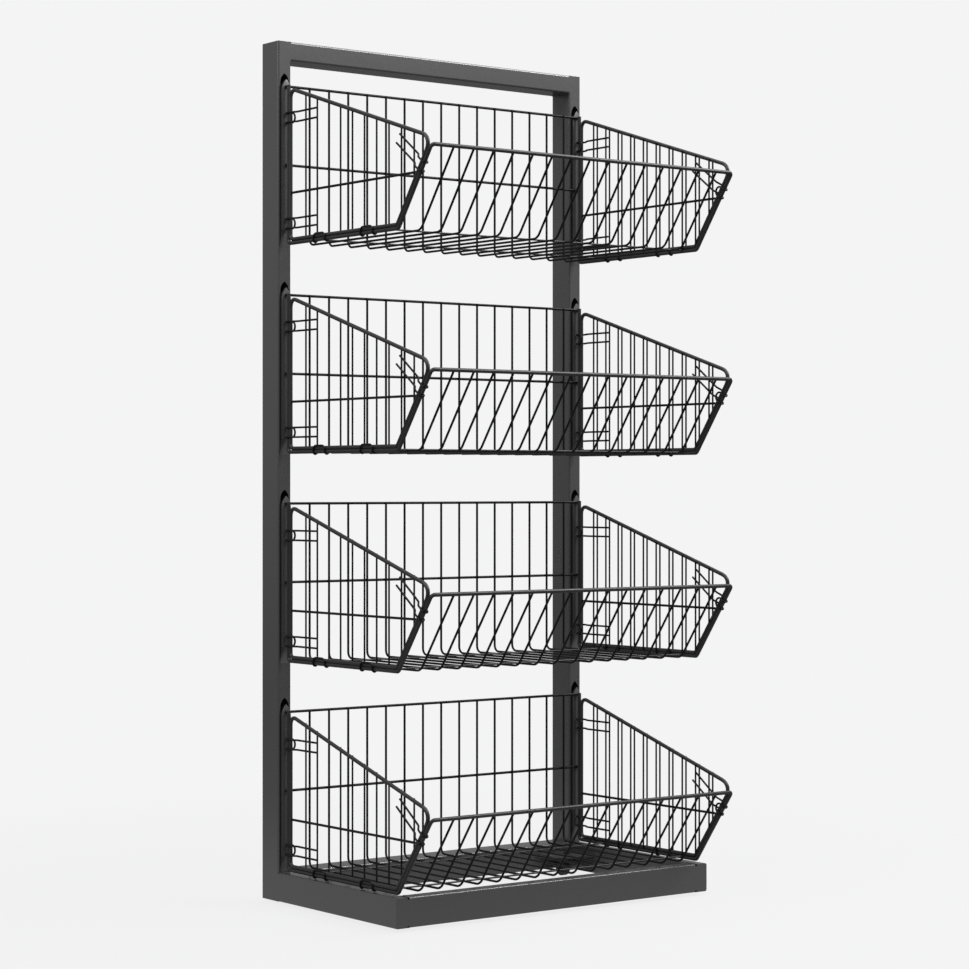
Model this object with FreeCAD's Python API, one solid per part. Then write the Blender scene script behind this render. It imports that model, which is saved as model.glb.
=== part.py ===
import FreeCAD, Part
import math
import os

# Rolling display rack with wire baskets that hang on two posts
# Millimetres, +Z up, the front towards -Y. The origin lies on the floor, under the
# middle of the rack's width and depth. Depths are measured forward from the posts' front faces.

V = FreeCAD.Vector

# Tube frame
frame_height = 1800.0
frame_width = 812.0
post_width = 32.0
post_depth = 64.0
tube_wall = 2.0
tube_corner = 4.0
top_rail_height = 40.0
back_rail_height = 55.0
base_rail_height = 60.0
base_rail_width = 32.0
base_reach = 430.0
ground_clearance = 8.0
end_plate_thickness = 2.0
end_plate_clearance = 0.05

# Wire and rod diameters, and the hairline between pieces that are welded together
edge_rod = 7.5
loop_rod = 7.5
back_rail_rod = 5.0
mat_wire = 4.0
cross_wire = 3.0
long_wire = 4.5
upright_wire = 3.0
clip_wire = 3.5
weld_gap = 0.05

# Baskets
basket_count = 4
basket_clearance = 0.95
top_clearance = 67.5
back_height = 328.5
back_middle_height = 164.0
back_rail_overlap = 3.5
front_rise = 154.6
floor_depth = 415.5
front_reach = 527.3
edge_bend = 8.0
mat_wire_count = 15
mat_side_gap = 48.75
mat_shift = 4.4
mat_drop = 0.6
mat_lean_out = 0.8
mat_back_bend = 14.0
mat_front_bend = 22.0
mat_back_rise = 1.0
cross_wire_count = 2
cross_wire_first = 111.5
cross_wire_step = 261.5

# Side panels
side_back_height = 322.6
side_slope = 17.0
side_top_back_bend = 15.0
side_top_front_bend = 22.0
side_low_front_bend = 8.0
side_low_back_bend = 10.0
upright_count = 10
upright_first = 73.8
upright_step = 43.08
upright_overlap = 2.0
long_wire_height = 105.0
hook_spacing_count = 4
bight_height = 12.5
bight_bend = 10.0

# Clips that hold the side panels
clip_spacing = 20.0
clip_bight = 15.5
clip_jog_near = 17.0
clip_jog_far = 29.0
clip_jog_bend = 8.0
back_clip_length = 105.0
back_clip_heights = (272.0, 51.0)
front_clip_length = 107.5
front_clip_height = 151.5

# Hanger bars, their hook tabs and the slots in the posts
hanger_width = 23.0
hanger_depth = 7.0
hanger_gap = 0.2
hanger_head = 16.0
hanger_head_drop = 10.0
hanger_foot = 6.0
hanger_foot_slope = 35.0
tab_thickness = 5.0
tab_neck = 12.0
tab_lip = 10.0
tab_lip_thickness = 3.0
tab_gap = 0.3
tab_heights = (40.0, 296.0)
slot_side_clearance = 0.5
slot_top_clearance = 2.0
slot_head = 29.0
slot_head_width = 21.0
slot_head_spring = 10.0
slot_head_drop = 20.0

# Castors
castor_inset = 38.0
castor_trail = 14.0
castor_height = 46.0
wheel_diameter = 35.0
wheel_width = 16.0
tyre_thickness = 3.5
tyre_edge = 2.0
tyre_fit = 0.02
wheel_dish_depth = 2.0
wheel_rim = 2.5
wheel_hub = 6.5
wheel_gap = 1.0
axle_diameter = 6.0
axle_clearance = 0.05
axle_fit = 0.02
axle_head = 10.0
axle_head_thickness = 2.0
fork_plate = 3.0
fork_leg = 2.5
fork_eye = 7.0
fork_heel = 14.0
stem_diameter = 8.0
stem_clearance = 0.05
stem_head = 14.0
stem_head_thickness = 2.3
stem_collar = 20.0
stem_collar_height = 3.7
thrust_gap = 0.3
plate_size = 92.0
plate_thickness = 4.0
plate_corner_cut = 40.0
plate_hole_clearance = 0.25
washer_diameter = 16.0
washer_thickness = 1.6
nut_flats = 13.0
nut_height = 6.5
nut_fit = 0.02
stem_end = 2.0

# Places that follow from the sizes above
depth_overall = post_depth + front_reach + edge_rod / 2
post_front = depth_overall / 2 - post_depth
post_back = depth_overall / 2
half_width = frame_width / 2
base_bottom = ground_clearance
base_top = base_bottom + base_rail_height
post_top = base_bottom + frame_height
side_plane = half_width - post_width / 2
mat_wire_step = 2 * (side_plane - mat_side_gap) / (mat_wire_count - 1)

hook_radius = max(edge_rod, loop_rod) / 2 + weld_gap + upright_wire / 2
clip_radius = max(edge_rod, loop_rod) / 2 + 2 * weld_gap + clip_wire / 2
hanger_face = hanger_gap + hanger_depth
rail_depth = hanger_face + weld_gap + back_rail_rod / 2
mat_depth = rail_depth + back_rail_rod / 2 + weld_gap + mat_wire / 2
edge_depth = rail_depth + back_rail_rod / 2 + weld_gap + edge_rod / 2
rod_pitch = edge_rod / 2 + weld_gap + loop_rod / 2 + weld_gap
loop_depth = edge_depth + rod_pitch
first_edge_height = base_top + basket_clearance + hook_radius + upright_wire / 2
last_edge_height = post_top - top_clearance - slot_head - back_height
basket_pitch = (last_edge_height - first_edge_height) / (basket_count - 1)
mat_height = -mat_drop
mat_top = mat_height + mat_wire / 2
cross_height = mat_top + weld_gap + cross_wire / 2

# The leaning front, as seen from the side: unit steps up the lean and back into the basket
lean_length = math.hypot(front_reach - floor_depth, front_rise)
lean_forward = (front_reach - floor_depth) / lean_length
lean_up = front_rise / lean_length


def place(x, depth, height):
    """A point at a depth in front of the posts' faces."""
    return V(x, post_front - depth, height)


def lean_depth(height, offset):
    """Depth of the leaning line that lies an offset inside the edge rod, at a height over the rod."""
    along = (height - offset * lean_forward) / lean_up
    return floor_depth - offset * lean_up + along * lean_forward


def lean_height(depth, offset):
    """Height of that line over the edge rod, at a depth."""
    along = (depth - floor_depth + offset * lean_up) / lean_forward
    return offset * lean_forward + along * lean_up


def box(low, high):
    size = high - low
    return Part.makeBox(size.x, size.y, size.z, low)


def rounded_box(low, high, direction, radius):
    """A box whose edges along one direction are rounded."""
    block = box(low, high)
    parallel = 1e-6
    along = [e for e in block.Edges if e.tangentAt(e.FirstParameter).cross(direction).Length < parallel]
    return block.makeFillet(radius, along)


def tube(low, high, direction):
    """A rectangular tube that fills a box, open at both ends."""
    inset = V(tube_wall, tube_wall, tube_wall) - direction * tube_wall
    hollow = rounded_box(low + inset, high - inset, direction, tube_corner - tube_wall)
    return rounded_box(low, high, direction, tube_corner).cut(hollow)


def end_plate(low, high, direction):
    """A plate set into a tube's end, where the box is the tube's outside over the plate's thickness."""
    margin = tube_wall + end_plate_clearance
    inset = V(margin, margin, margin) - direction * margin
    return rounded_box(low + inset, high - inset, direction, tube_corner - tube_wall)


def rounded_path(points, bends, closed):
    """Straight runs through the points, joined by tangent arcs of the given radii."""
    count = len(points)
    corners = []
    for i, point in enumerate(points):
        if not closed and i in (0, count - 1):
            corners.append((point, None, point))
            continue
        run_in = (point - points[i - 1]).normalize()
        run_out = (points[(i + 1) % count] - point).normalize()
        half_turn = run_in.getAngle(run_out) / 2
        reach = bends[i] * math.tan(half_turn)
        inward = (run_out - run_in).normalize()
        middle = point + inward * (bends[i] / math.cos(half_turn) - bends[i])
        corners.append((point - run_in * reach, middle, point + run_out * reach))
    edges = []
    shortest_run = 1e-6
    for i, (first, middle, last) in enumerate(corners):
        if middle is not None:
            edges.append(Part.Arc(first, middle, last).toShape())
        if closed or i < count - 1:
            following = corners[(i + 1) % count][0]
            if following.distanceToPoint(last) > shortest_run:
                edges.append(Part.LineSegment(last, following).toShape())
    return Part.Wire(edges)


def bent_wire(points, bends, diameter, closed=False):
    """Round wire bent along a path."""
    path = rounded_path(points, bends, closed)
    start = path.OrderedEdges[0]
    begin = start.FirstParameter
    ring = Part.makeCircle(diameter / 2, start.valueAt(begin), start.tangentAt(begin))
    return path.makePipeShell([Part.Wire(ring)], True, False)


def straight_wire(first, last, diameter):
    run = last - first
    return Part.makeCylinder(diameter / 2, run.Length, first, run)


def export(name, solids):
    shape = solids[0] if len(solids) == 1 else Part.makeCompound(solids)
    shape.exportStep("parts/" + name + ".step")


def pointed_plate(middle, half, depth, thickness, foot, spring, peak):
    """A plate that rises from a foot to a pointed arch and is thickened forward from a depth."""
    rise = peak - spring
    arch_radius = (half ** 2 + rise ** 2) / (2 * half)
    half_sweep = math.asin(rise / arch_radius) / 2
    bulge = arch_radius * math.cos(half_sweep) - (arch_radius - half)
    bulge_height = spring + arch_radius * math.sin(half_sweep)
    low_left = place(middle - half, depth, foot)
    low_right = place(middle + half, depth, foot)
    left = place(middle - half, depth, spring)
    right = place(middle + half, depth, spring)
    tip = place(middle, depth, peak)
    outline = Part.Wire([
        Part.LineSegment(low_right, low_left).toShape(),
        Part.LineSegment(low_left, left).toShape(),
        Part.Arc(left, place(middle - bulge, depth, bulge_height), tip).toShape(),
        Part.Arc(tip, place(middle + bulge, depth, bulge_height), right).toShape(),
        Part.LineSegment(right, low_right).toShape(),
    ])
    return Part.Face(outline).extrude(V(0, -thickness, 0))


# Frame pieces
def post_slots(side):
    """The slots that one post has for the hook tabs of every basket. The upper ones open in a pointed head."""
    half = tab_thickness / 2 + slot_side_clearance
    height = tab_neck + tab_lip + slot_top_clearance
    middle = side * side_plane
    behind = -tube_wall - tab_gap
    cuts = []
    for tier in range(basket_count):
        edge_height = first_edge_height + tier * basket_pitch
        for tab in tab_heights:
            bottom = edge_height + tab - tab_gap
            low = place(middle - half, tab_gap, bottom)
            cuts.append(box(low, place(middle + half, behind, bottom + height)))
        top = edge_height + back_height
        levels = (top - slot_head_drop, top + slot_head_spring, top + slot_head)
        cuts.append(pointed_plate(middle, slot_head_width / 2, behind, tab_gap - behind, *levels))
    return cuts


def post(side):
    inner = half_width - post_width
    low_x = -half_width if side < 0 else inner
    low = V(low_x, post_front, base_bottom)
    upright = tube(low, V(low_x + post_width, post_back, post_top), V(0, 0, 1))
    return upright.cut(post_slots(side))


def post_end_plates():
    plates = []
    for low_x in (-half_width, half_width - post_width):
        for bottom in (base_bottom, post_top - end_plate_thickness):
            low = V(low_x, post_front, bottom)
            high = V(low_x + post_width, post_back, bottom + end_plate_thickness)
            plates.append(end_plate(low, high, V(0, 0, 1)))
    return plates


def base_side_rail(side):
    low_x = -half_width if side < 0 else half_width - base_rail_width
    low = V(low_x, post_front - base_reach, base_bottom)
    return tube(low, V(low_x + base_rail_width, post_front, base_top), V(0, 1, 0))


def base_end_plates():
    plates = []
    front = post_front - base_reach
    for low_x in (-half_width, half_width - base_rail_width):
        low = V(low_x, front, base_bottom)
        high = V(low_x + base_rail_width, front + end_plate_thickness, base_top)
        plates.append(end_plate(low, high, V(0, 1, 0)))
    return plates


def make_frame():
    between_posts = half_width - post_width
    between_rails = half_width - base_rail_width
    base_front = post_front - base_reach
    along_x = V(1, 0, 0)
    export("left_post", [post(-1)])
    export("right_post", [post(1)])
    low = V(-between_posts, post_front, post_top - top_rail_height)
    export("top_rail", [tube(low, V(between_posts, post_back, post_top), along_x)])
    low = V(-between_posts, post_front, base_top - back_rail_height)
    export("lower_back_rail", [tube(low, V(between_posts, post_back, base_top), along_x)])
    export("base_left_rail", [base_side_rail(-1)])
    export("base_right_rail", [base_side_rail(1)])
    high = V(between_rails, base_front + base_rail_width, base_top)
    export("base_front_rail", [tube(V(-between_rails, base_front, base_bottom), high, along_x)])
    export("post_end_plates", post_end_plates())
    export("base_end_plates", base_end_plates())


# Basket pieces, built at a height of zero for the edge rod and lifted to each tier
def wire_mat():
    """Wires in the edge rod's plane, set a little to one side, that butt under the front rail."""
    bend_depth = lean_depth(mat_height, -mat_lean_out)
    along = lean_length - edge_rod / 2 - weld_gap
    top_height = along * lean_up - mat_lean_out * lean_forward
    top_depth = lean_depth(top_height, -mat_lean_out)
    wires = []
    for i in range(mat_wire_count):
        x = mat_shift + (i - (mat_wire_count - 1) / 2) * mat_wire_step
        points = [
            place(x, mat_depth, back_height + mat_back_rise),
            place(x, mat_depth, mat_height),
            place(x, bend_depth, mat_height),
            place(x, top_depth, top_height),
        ]
        wires.append(bent_wire(points, [0, mat_back_bend, mat_front_bend, 0], mat_wire))
    return wires


def cross_wires():
    wires = []
    rod_flank = math.sqrt((edge_rod / 2) ** 2 - mat_top ** 2)
    reach = side_plane - rod_flank - weld_gap
    for i in range(cross_wire_count):
        depth = cross_wire_first + i * cross_wire_step
        left = place(-reach, depth, cross_height)
        right = place(reach, depth, cross_height)
        wires.append(straight_wire(left, right, cross_wire))
    reach = side_plane + back_rail_overlap
    for height in (back_middle_height, back_height):
        left = place(-reach, rail_depth, height)
        right = place(reach, rail_depth, height)
        wires.append(straight_wire(left, right, back_rail_rod))
    return wires


def edge_rod_frame():
    top = back_height + back_rail_rod / 2
    left = [
        place(-side_plane, edge_depth, top),
        place(-side_plane, edge_depth, 0),
        place(-side_plane, floor_depth, 0),
        place(-side_plane, front_reach, front_rise),
    ]
    right = [V(-point.x, point.y, point.z) for point in reversed(left)]
    bends = [edge_bend] * (len(left) + len(right))
    return [bent_wire(left + right, bends, edge_rod)]


def hanger(side):
    """A bar with a pointed head that lies on the post's face, with two hook tabs at its back."""
    half = hanger_width / 2
    middle = side * side_plane
    foot = -hanger_foot
    levels = (foot, back_height - hanger_head_drop, back_height + hanger_head)
    bar = pointed_plate(middle, half, hanger_gap, hanger_depth, *levels)
    wedge = Part.Wire(Part.makePolygon([
        place(middle - hanger_width, hanger_gap, foot),
        place(middle - hanger_width, hanger_face + hanger_gap, foot),
        place(middle - hanger_width, hanger_face + hanger_gap, foot + hanger_foot_slope),
        place(middle - hanger_width, hanger_face, foot + hanger_foot_slope),
        place(middle - hanger_width, hanger_gap, foot),
    ]))
    bar = bar.cut(Part.Face(wedge).extrude(V(2 * hanger_width, 0, 0)))
    behind = -tube_wall - tab_gap
    half_tab = tab_thickness / 2
    for bottom in tab_heights:
        neck_low = place(middle - half_tab, hanger_face / 2, bottom)
        neck_high = place(middle + half_tab, behind - tab_lip_thickness, bottom + tab_neck)
        lip_low = place(middle - half_tab, behind, bottom - tab_lip)
        lip_high = place(middle + half_tab, behind - tab_lip_thickness, bottom + tab_neck)
        bar = bar.fuse(box(neck_low, neck_high)).fuse(box(lip_low, lip_high))
    return bar.removeSplitter()


def panel_point(side, depth, outward, height):
    """A point beside a side panel, where outward is the distance out of the panel's middle plane."""
    return place(side * (side_plane + outward), depth, height)


def slope_height(depth):
    """Height of the panel's sloping top rod over the edge rod."""
    return side_back_height - (depth - loop_depth) * math.tan(math.radians(side_slope))


def panel_loop(side):
    bottom = rod_pitch
    slope = math.tan(math.radians(side_slope))
    lean_run = lean_forward / lean_up
    top_front = slope_height(lean_depth(0, rod_pitch)) / (1 + slope * lean_run)
    points = [
        panel_point(side, lean_depth(bottom, rod_pitch), 0, bottom),
        panel_point(side, lean_depth(top_front, rod_pitch), 0, top_front),
        panel_point(side, loop_depth, 0, side_back_height),
        panel_point(side, loop_depth, 0, bottom),
    ]
    bends = [side_low_front_bend, side_top_front_bend, side_top_back_bend, side_low_back_bend]
    return bent_wire(points, bends, loop_rod, closed=True)


def upright_foot(depth):
    """Height of the rod that an upright stands on."""
    return max(rod_pitch, lean_height(depth, rod_pitch))


def plain_upright(side, depth, outward):
    low = panel_point(side, depth, outward, upright_foot(depth) - upright_overlap)
    high = panel_point(side, depth, outward, slope_height(depth) + upright_overlap)
    return straight_wire(low, high, upright_wire)


def hooked_pair(side, depth_a, depth_b):
    """Two uprights of one wire that hooks under the edge rod and rises outside it in a low bight."""
    under = -hook_radius
    inner = -hook_radius
    outer = hook_radius
    points = [
        panel_point(side, depth_a, inner, slope_height(depth_a) + upright_overlap),
        panel_point(side, depth_a, inner, under),
        panel_point(side, depth_a, outer, under),
        panel_point(side, depth_a, outer, bight_height),
        panel_point(side, depth_b, outer, bight_height),
        panel_point(side, depth_b, outer, under),
        panel_point(side, depth_b, inner, under),
        panel_point(side, depth_b, inner, slope_height(depth_b) + upright_overlap),
    ]
    hook = hook_radius
    return bent_wire(points, [0, hook, hook, bight_bend, bight_bend, hook, hook, 0], upright_wire)


def doubled_upright(side, depth):
    """One wire down the inside of the panel, under the edge rod and up the outside."""
    top = slope_height(depth) + upright_overlap
    points = [
        panel_point(side, depth, -hook_radius, top),
        panel_point(side, depth, -hook_radius, -hook_radius),
        panel_point(side, depth, hook_radius, -hook_radius),
        panel_point(side, depth, hook_radius, top),
    ]
    return bent_wire(points, [0, hook_radius, hook_radius, 0], upright_wire)


def panel_long_wire(side):
    outward = -loop_rod / 2 + long_wire / 2
    back = loop_depth + loop_rod / 2 + weld_gap
    low_edge = lean_depth(long_wire_height - long_wire / 2, rod_pitch)
    front = low_edge - loop_rod / 2 / lean_up - weld_gap
    first = panel_point(side, back, outward, long_wire_height)
    return straight_wire(first, panel_point(side, front, outward, long_wire_height), long_wire)


def side_panel(side, doubled):
    """Rod loop, uprights and long wire. A doubled panel has uprights on both faces of the loop."""
    pieces = [panel_loop(side), panel_long_wire(side)]
    pair_starts = range(1, upright_count - 1, hook_spacing_count)
    for i in range(upright_count):
        depth = upright_first + i * upright_step
        starts_pair = i in pair_starts
        ends_pair = i - 1 in pair_starts
        if doubled and (starts_pair or ends_pair):
            pieces.append(doubled_upright(side, depth))
        elif starts_pair:
            pieces.append(hooked_pair(side, depth, depth + upright_step))
        elif not ends_pair:
            pieces.append(plain_upright(side, depth, -hook_radius))
            if doubled:
                pieces.append(plain_upright(side, depth, hook_radius))
    return pieces


def clip(corner, into_panel, along_edge, outward, length):
    """A wire that lies on the uprights, hooks round the edge rod and ends in a bight inside the panel.

    The corner is the point on the edge rod's axis where the first leg crosses it.
    """
    lie = -loop_rod / 2 + clip_wire / 2
    round_rod = clip_radius
    legs = []
    for along in (0, clip_spacing):
        start = corner + along_edge * along
        leg = [(length, lie), (clip_jog_far, lie), (clip_jog_near, round_rod), (-round_rod, round_rod)]
        leg += [(-round_rod, -round_rod), (clip_bight, -round_rod)]
        legs.append([start + into_panel * inward + outward * out for inward, out in leg])
    bends = [0, clip_jog_bend, clip_jog_bend, round_rod, round_rod, clip_spacing / 2]
    return bent_wire(legs[0] + legs[1][::-1], bends + bends[::-1], clip_wire)


def side_clips():
    clips = []
    for side in (-1, 1):
        outward = V(side, 0, 0)
        for height in back_clip_heights:
            corner = panel_point(side, edge_depth, 0, height)
            clips.append(clip(corner, V(0, -1, 0), V(0, 0, -1), outward, back_clip_length))
        depth = floor_depth + front_clip_height * lean_forward
        corner = panel_point(side, depth, 0, front_clip_height * lean_up)
        down_edge = V(0, lean_forward, -lean_up)
        into_panel = V(0, lean_up, lean_forward)
        clips.append(clip(corner, into_panel, down_edge, outward, front_clip_length))
    return clips


def make_baskets():
    pieces = {
        "wire_mat": wire_mat(),
        "cross_wires": cross_wires(),
        "edge_rod": edge_rod_frame(),
        "hangers": [hanger(-1), hanger(1)],
        "left_side": side_panel(-1, False),
        "right_side": side_panel(1, True),
        "side_clips": side_clips(),
    }
    for tier in range(basket_count):
        lift = V(0, 0, first_edge_height + tier * basket_pitch)
        for name, solids in pieces.items():
            export("basket_" + str(tier + 1) + "_" + name, [solid.translated(lift) for solid in solids])


# Castor pieces, built about a swivel axis at the origin with the wheel towards +X
def castor_fork():
    legs_apart = wheel_width / 2 + wheel_gap
    outside = legs_apart + fork_leg
    top = castor_height - stem_collar_height - thrust_gap
    under = top - fork_plate
    axle_height = wheel_diameter / 2
    toe = castor_trail + fork_eye
    plate = box(V(0, -outside, under), V(toe, outside, top))
    heel = Part.makeCylinder(fork_heel, fork_plate, V(0, 0, under))
    eye_front = V(toe, -outside, axle_height)
    eye_low = V(castor_trail, -outside, axle_height - fork_eye)
    eye_back = V(castor_trail - fork_eye, -outside, axle_height)
    back = -fork_heel / 2
    leg_face = Part.Face(Part.Wire([
        Part.LineSegment(V(back, -outside, top), V(toe, -outside, top)).toShape(),
        Part.LineSegment(V(toe, -outside, top), eye_front).toShape(),
        Part.Arc(eye_front, eye_low, eye_back).toShape(),
        Part.LineSegment(eye_back, V(back, -outside, under)).toShape(),
        Part.LineSegment(V(back, -outside, under), V(back, -outside, top)).toShape(),
    ]))
    leg = leg_face.extrude(V(0, fork_leg, 0))
    other_leg = leg.translated(V(0, outside + legs_apart, 0))
    fork = plate.fuse([heel, leg, other_leg])
    stem_hole = Part.makeCylinder(stem_diameter / 2 + stem_clearance, fork_plate, V(0, 0, under))
    hole_start = V(castor_trail, -outside, axle_height)
    axle_hole = Part.makeCylinder(axle_diameter / 2 + axle_fit, 2 * outside, hole_start, V(0, 1, 0))
    return fork.cut(stem_hole).cut(axle_hole).removeSplitter()


def castor_axle():
    outside = wheel_width / 2 + wheel_gap + fork_leg
    start = V(castor_trail, -outside, wheel_diameter / 2)
    axle = Part.makeCylinder(axle_diameter / 2, 2 * outside, start, V(0, 1, 0))
    for end in (-outside - axle_head_thickness, outside):
        head_start = V(castor_trail, end, wheel_diameter / 2)
        axle = axle.fuse(Part.makeCylinder(axle_head / 2, axle_head_thickness, head_start, V(0, 1, 0)))
    return axle.removeSplitter()


def wheel_disc(radius, start, width):
    """A disc about the wheel's axis, from a distance beside the wheel's middle plane."""
    centre = V(castor_trail, start, wheel_diameter / 2)
    return Part.makeCylinder(radius, width, centre, V(0, 1, 0))


def castor_tyre():
    half = wheel_width / 2
    tread = wheel_disc(wheel_diameter / 2, -half, wheel_width)
    tread = tread.makeFillet(tyre_edge, [e for e in tread.Edges if e.Closed])
    return tread.cut(wheel_disc(wheel_diameter / 2 - tyre_thickness, -half, wheel_width))


def castor_wheel():
    half = wheel_width / 2
    radius = wheel_diameter / 2 - tyre_thickness - tyre_fit
    wheel = wheel_disc(radius, -half, wheel_width)
    for start in (-half, half - wheel_dish_depth):
        dish = wheel_disc(radius - wheel_rim, start, wheel_dish_depth)
        wheel = wheel.cut(dish.cut(wheel_disc(wheel_hub, start, wheel_dish_depth)))
    return wheel.cut(wheel_disc(axle_diameter / 2 + axle_clearance, -half, wheel_width))


def castor_stem():
    """The stem, with a riveted head under the fork's plate and a collar that the castor plate sits on."""
    collar_bottom = castor_height - stem_collar_height
    head_top = collar_bottom - thrust_gap - fork_plate - thrust_gap
    head_bottom = head_top - stem_head_thickness
    top = castor_height + plate_thickness + washer_thickness + nut_height + stem_end
    stem = Part.makeCylinder(stem_diameter / 2, top - head_bottom, V(0, 0, head_bottom))
    head = Part.makeCylinder(stem_head / 2, stem_head_thickness, V(0, 0, head_bottom))
    collar = Part.makeCylinder(stem_collar / 2, stem_collar_height, V(0, 0, collar_bottom))
    return stem.fuse([head, collar]).removeSplitter()


def castor_washer():
    bottom = V(0, 0, castor_height + plate_thickness)
    washer = Part.makeCylinder(washer_diameter / 2, washer_thickness, bottom)
    return washer.cut(Part.makeCylinder(stem_diameter / 2 + plate_hole_clearance, washer_thickness, bottom))


def castor_nut():
    corner = nut_flats / math.sqrt(3)
    bottom = castor_height + plate_thickness + washer_thickness
    sides = 6
    points = []
    for i in range(sides + 1):
        turn = 2 * math.pi * i / sides
        points.append(V(corner * math.cos(turn), corner * math.sin(turn), bottom))
    nut = Part.Face(Part.Wire(Part.makePolygon(points))).extrude(V(0, 0, nut_height))
    return nut.cut(Part.makeCylinder(stem_diameter / 2 + nut_fit, nut_height, V(0, 0, bottom)))


def castor_plate(side, end):
    """A plate welded into a corner of the base, with its free corner cut off."""
    corner_x = side * (half_width - base_rail_width)
    corner_y = post_front if end > 0 else post_front - base_reach + base_rail_width
    x = corner_x - side * plate_size
    y = corner_y - end * plate_size
    outline = Part.makePolygon([
        V(corner_x, corner_y, castor_height),
        V(x, corner_y, castor_height),
        V(x, y + end * plate_corner_cut, castor_height),
        V(x + side * plate_corner_cut, y, castor_height),
        V(corner_x, y, castor_height),
        V(corner_x, corner_y, castor_height),
    ])
    plate = Part.Face(Part.Wire(outline)).extrude(V(0, 0, plate_thickness))
    hole_radius = stem_diameter / 2 + plate_hole_clearance
    start = castor_axis(side, end) + V(0, 0, castor_height)
    return plate.cut(Part.makeCylinder(hole_radius, plate_thickness, start))


def castor_axis(side, end):
    """The swivel axis on the floor, for a side (-1 left) and an end (-1 front)."""
    x = side * (half_width - base_rail_width - castor_inset)
    back_y = post_front - castor_inset
    front_y = post_front - base_reach + base_rail_width + castor_inset
    return V(x, back_y if end > 0 else front_y, 0)


def make_castors():
    corners = {
        "front_left": (-1, -1),
        "front_right": (1, -1),
        "rear_left": (-1, 1),
        "rear_right": (1, 1),
    }
    quarter_turn = 90
    turning = {
        "fork": castor_fork,
        "axle": castor_axle,
        "wheel": castor_wheel,
        "tyre": castor_tyre,
    }
    fixed = {
        "castor_stems": castor_stem,
        "castor_washers": castor_washer,
        "castor_nuts": castor_nut,
    }
    for name, (side, end) in corners.items():
        for piece, make in turning.items():
            shape = make()
            shape.rotate(V(0, 0, 0), V(0, 0, 1), end * quarter_turn)
            export("castor_" + name + "_" + piece, [shape.translated(castor_axis(side, end))])
    for name, make in fixed.items():
        export(name, [make().translated(castor_axis(side, end)) for side, end in corners.values()])
    export("castor_plates", [castor_plate(side, end) for side, end in corners.values()])


os.makedirs("parts", exist_ok=True)
make_frame()
make_baskets()
make_castors()
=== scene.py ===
# %% [markdown]
# # A rolling display rack for a shop
#
# The rack is a welded frame of rectangular steel tube that rolls on four hidden castors. Four wire
# baskets hook onto its two posts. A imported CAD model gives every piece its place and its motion.
# This lesson models the pieces again at those places, with the eased edges, bends, welds and
# finishes that the eye expects of painted steel.

# %% Load the frame and keep its size
import math

import bmesh
import bpy
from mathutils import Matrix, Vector


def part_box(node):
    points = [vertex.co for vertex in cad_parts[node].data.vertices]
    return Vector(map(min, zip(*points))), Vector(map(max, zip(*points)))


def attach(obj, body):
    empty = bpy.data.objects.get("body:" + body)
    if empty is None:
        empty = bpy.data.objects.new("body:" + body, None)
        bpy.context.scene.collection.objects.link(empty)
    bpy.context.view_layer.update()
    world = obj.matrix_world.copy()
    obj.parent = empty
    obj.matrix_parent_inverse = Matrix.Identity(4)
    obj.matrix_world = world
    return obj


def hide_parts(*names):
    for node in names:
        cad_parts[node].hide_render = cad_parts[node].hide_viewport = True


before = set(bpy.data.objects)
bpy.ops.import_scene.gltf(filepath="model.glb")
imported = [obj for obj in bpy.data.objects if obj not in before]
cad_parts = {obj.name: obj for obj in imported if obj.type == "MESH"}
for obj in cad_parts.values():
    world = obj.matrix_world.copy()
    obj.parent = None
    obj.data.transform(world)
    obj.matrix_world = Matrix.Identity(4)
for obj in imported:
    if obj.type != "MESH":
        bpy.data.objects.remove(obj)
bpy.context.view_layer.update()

mm = 0.001

# %% [markdown]
# ## Working habits
#
# An operator acts on all that is selected, and the frame arrives selected. So every step starts
# with a clean selection, and inside edit mode the parts to work on are picked by their place.

# %% Selecting helpers
def start_clean():
    """Leave nothing selected."""
    bpy.ops.object.select_all(action="DESELECT")


def focus(*pieces):
    """Select only these pieces, the last one active."""
    start_clean()
    for piece in pieces:
        piece.select_set(True)
    bpy.context.view_layer.objects.active = pieces[-1]


def edit():
    bpy.ops.object.mode_set(mode="EDIT")


def leave_edit():
    bpy.ops.object.mode_set(mode="OBJECT")


def pick(piece, kind, test):
    """In edit mode, select the vertices, edges or faces that pass a test."""
    bpy.ops.mesh.select_mode(type=kind)
    bpy.ops.mesh.select_all(action="DESELECT")
    mesh = bmesh.from_edit_mesh(piece.data)
    for part in {"VERT": mesh.verts, "EDGE": mesh.edges, "FACE": mesh.faces}[kind]:
        if test(part):
            part.select_set(True)
    mesh.select_flush_mode()
    bmesh.update_edit_mesh(piece.data)


def smooth(piece, crease):
    """Shade a piece smooth, apart from edges that turn by more than a crease angle in degrees."""
    focus(piece)
    bpy.ops.object.shade_smooth_by_angle(angle=math.radians(crease))


def join(pieces, name):
    """Make one piece of several."""
    focus(*pieces)
    if len(pieces) > 1:
        bpy.ops.object.join()
    joined = bpy.context.object
    joined.name = name
    return joined


start_clean()
print("pieces in the frame:", len(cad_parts))

# %% [markdown]
# ## Camera
#
# The photograph was taken from the front left, level, from just above the second basket's height.
# The lens is given in pixels, as the photograph's edges gave it, and turned into millimetres here.

# %% Camera at the photograph's place
image_side = 969
focal_length_pixels = 2605.3
sensor_width = 36.0
camera_place = (-3.3283, -4.379575, 0.8752)
camera_heading = math.radians(-36.883)
camera_shift = 0.0022

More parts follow.
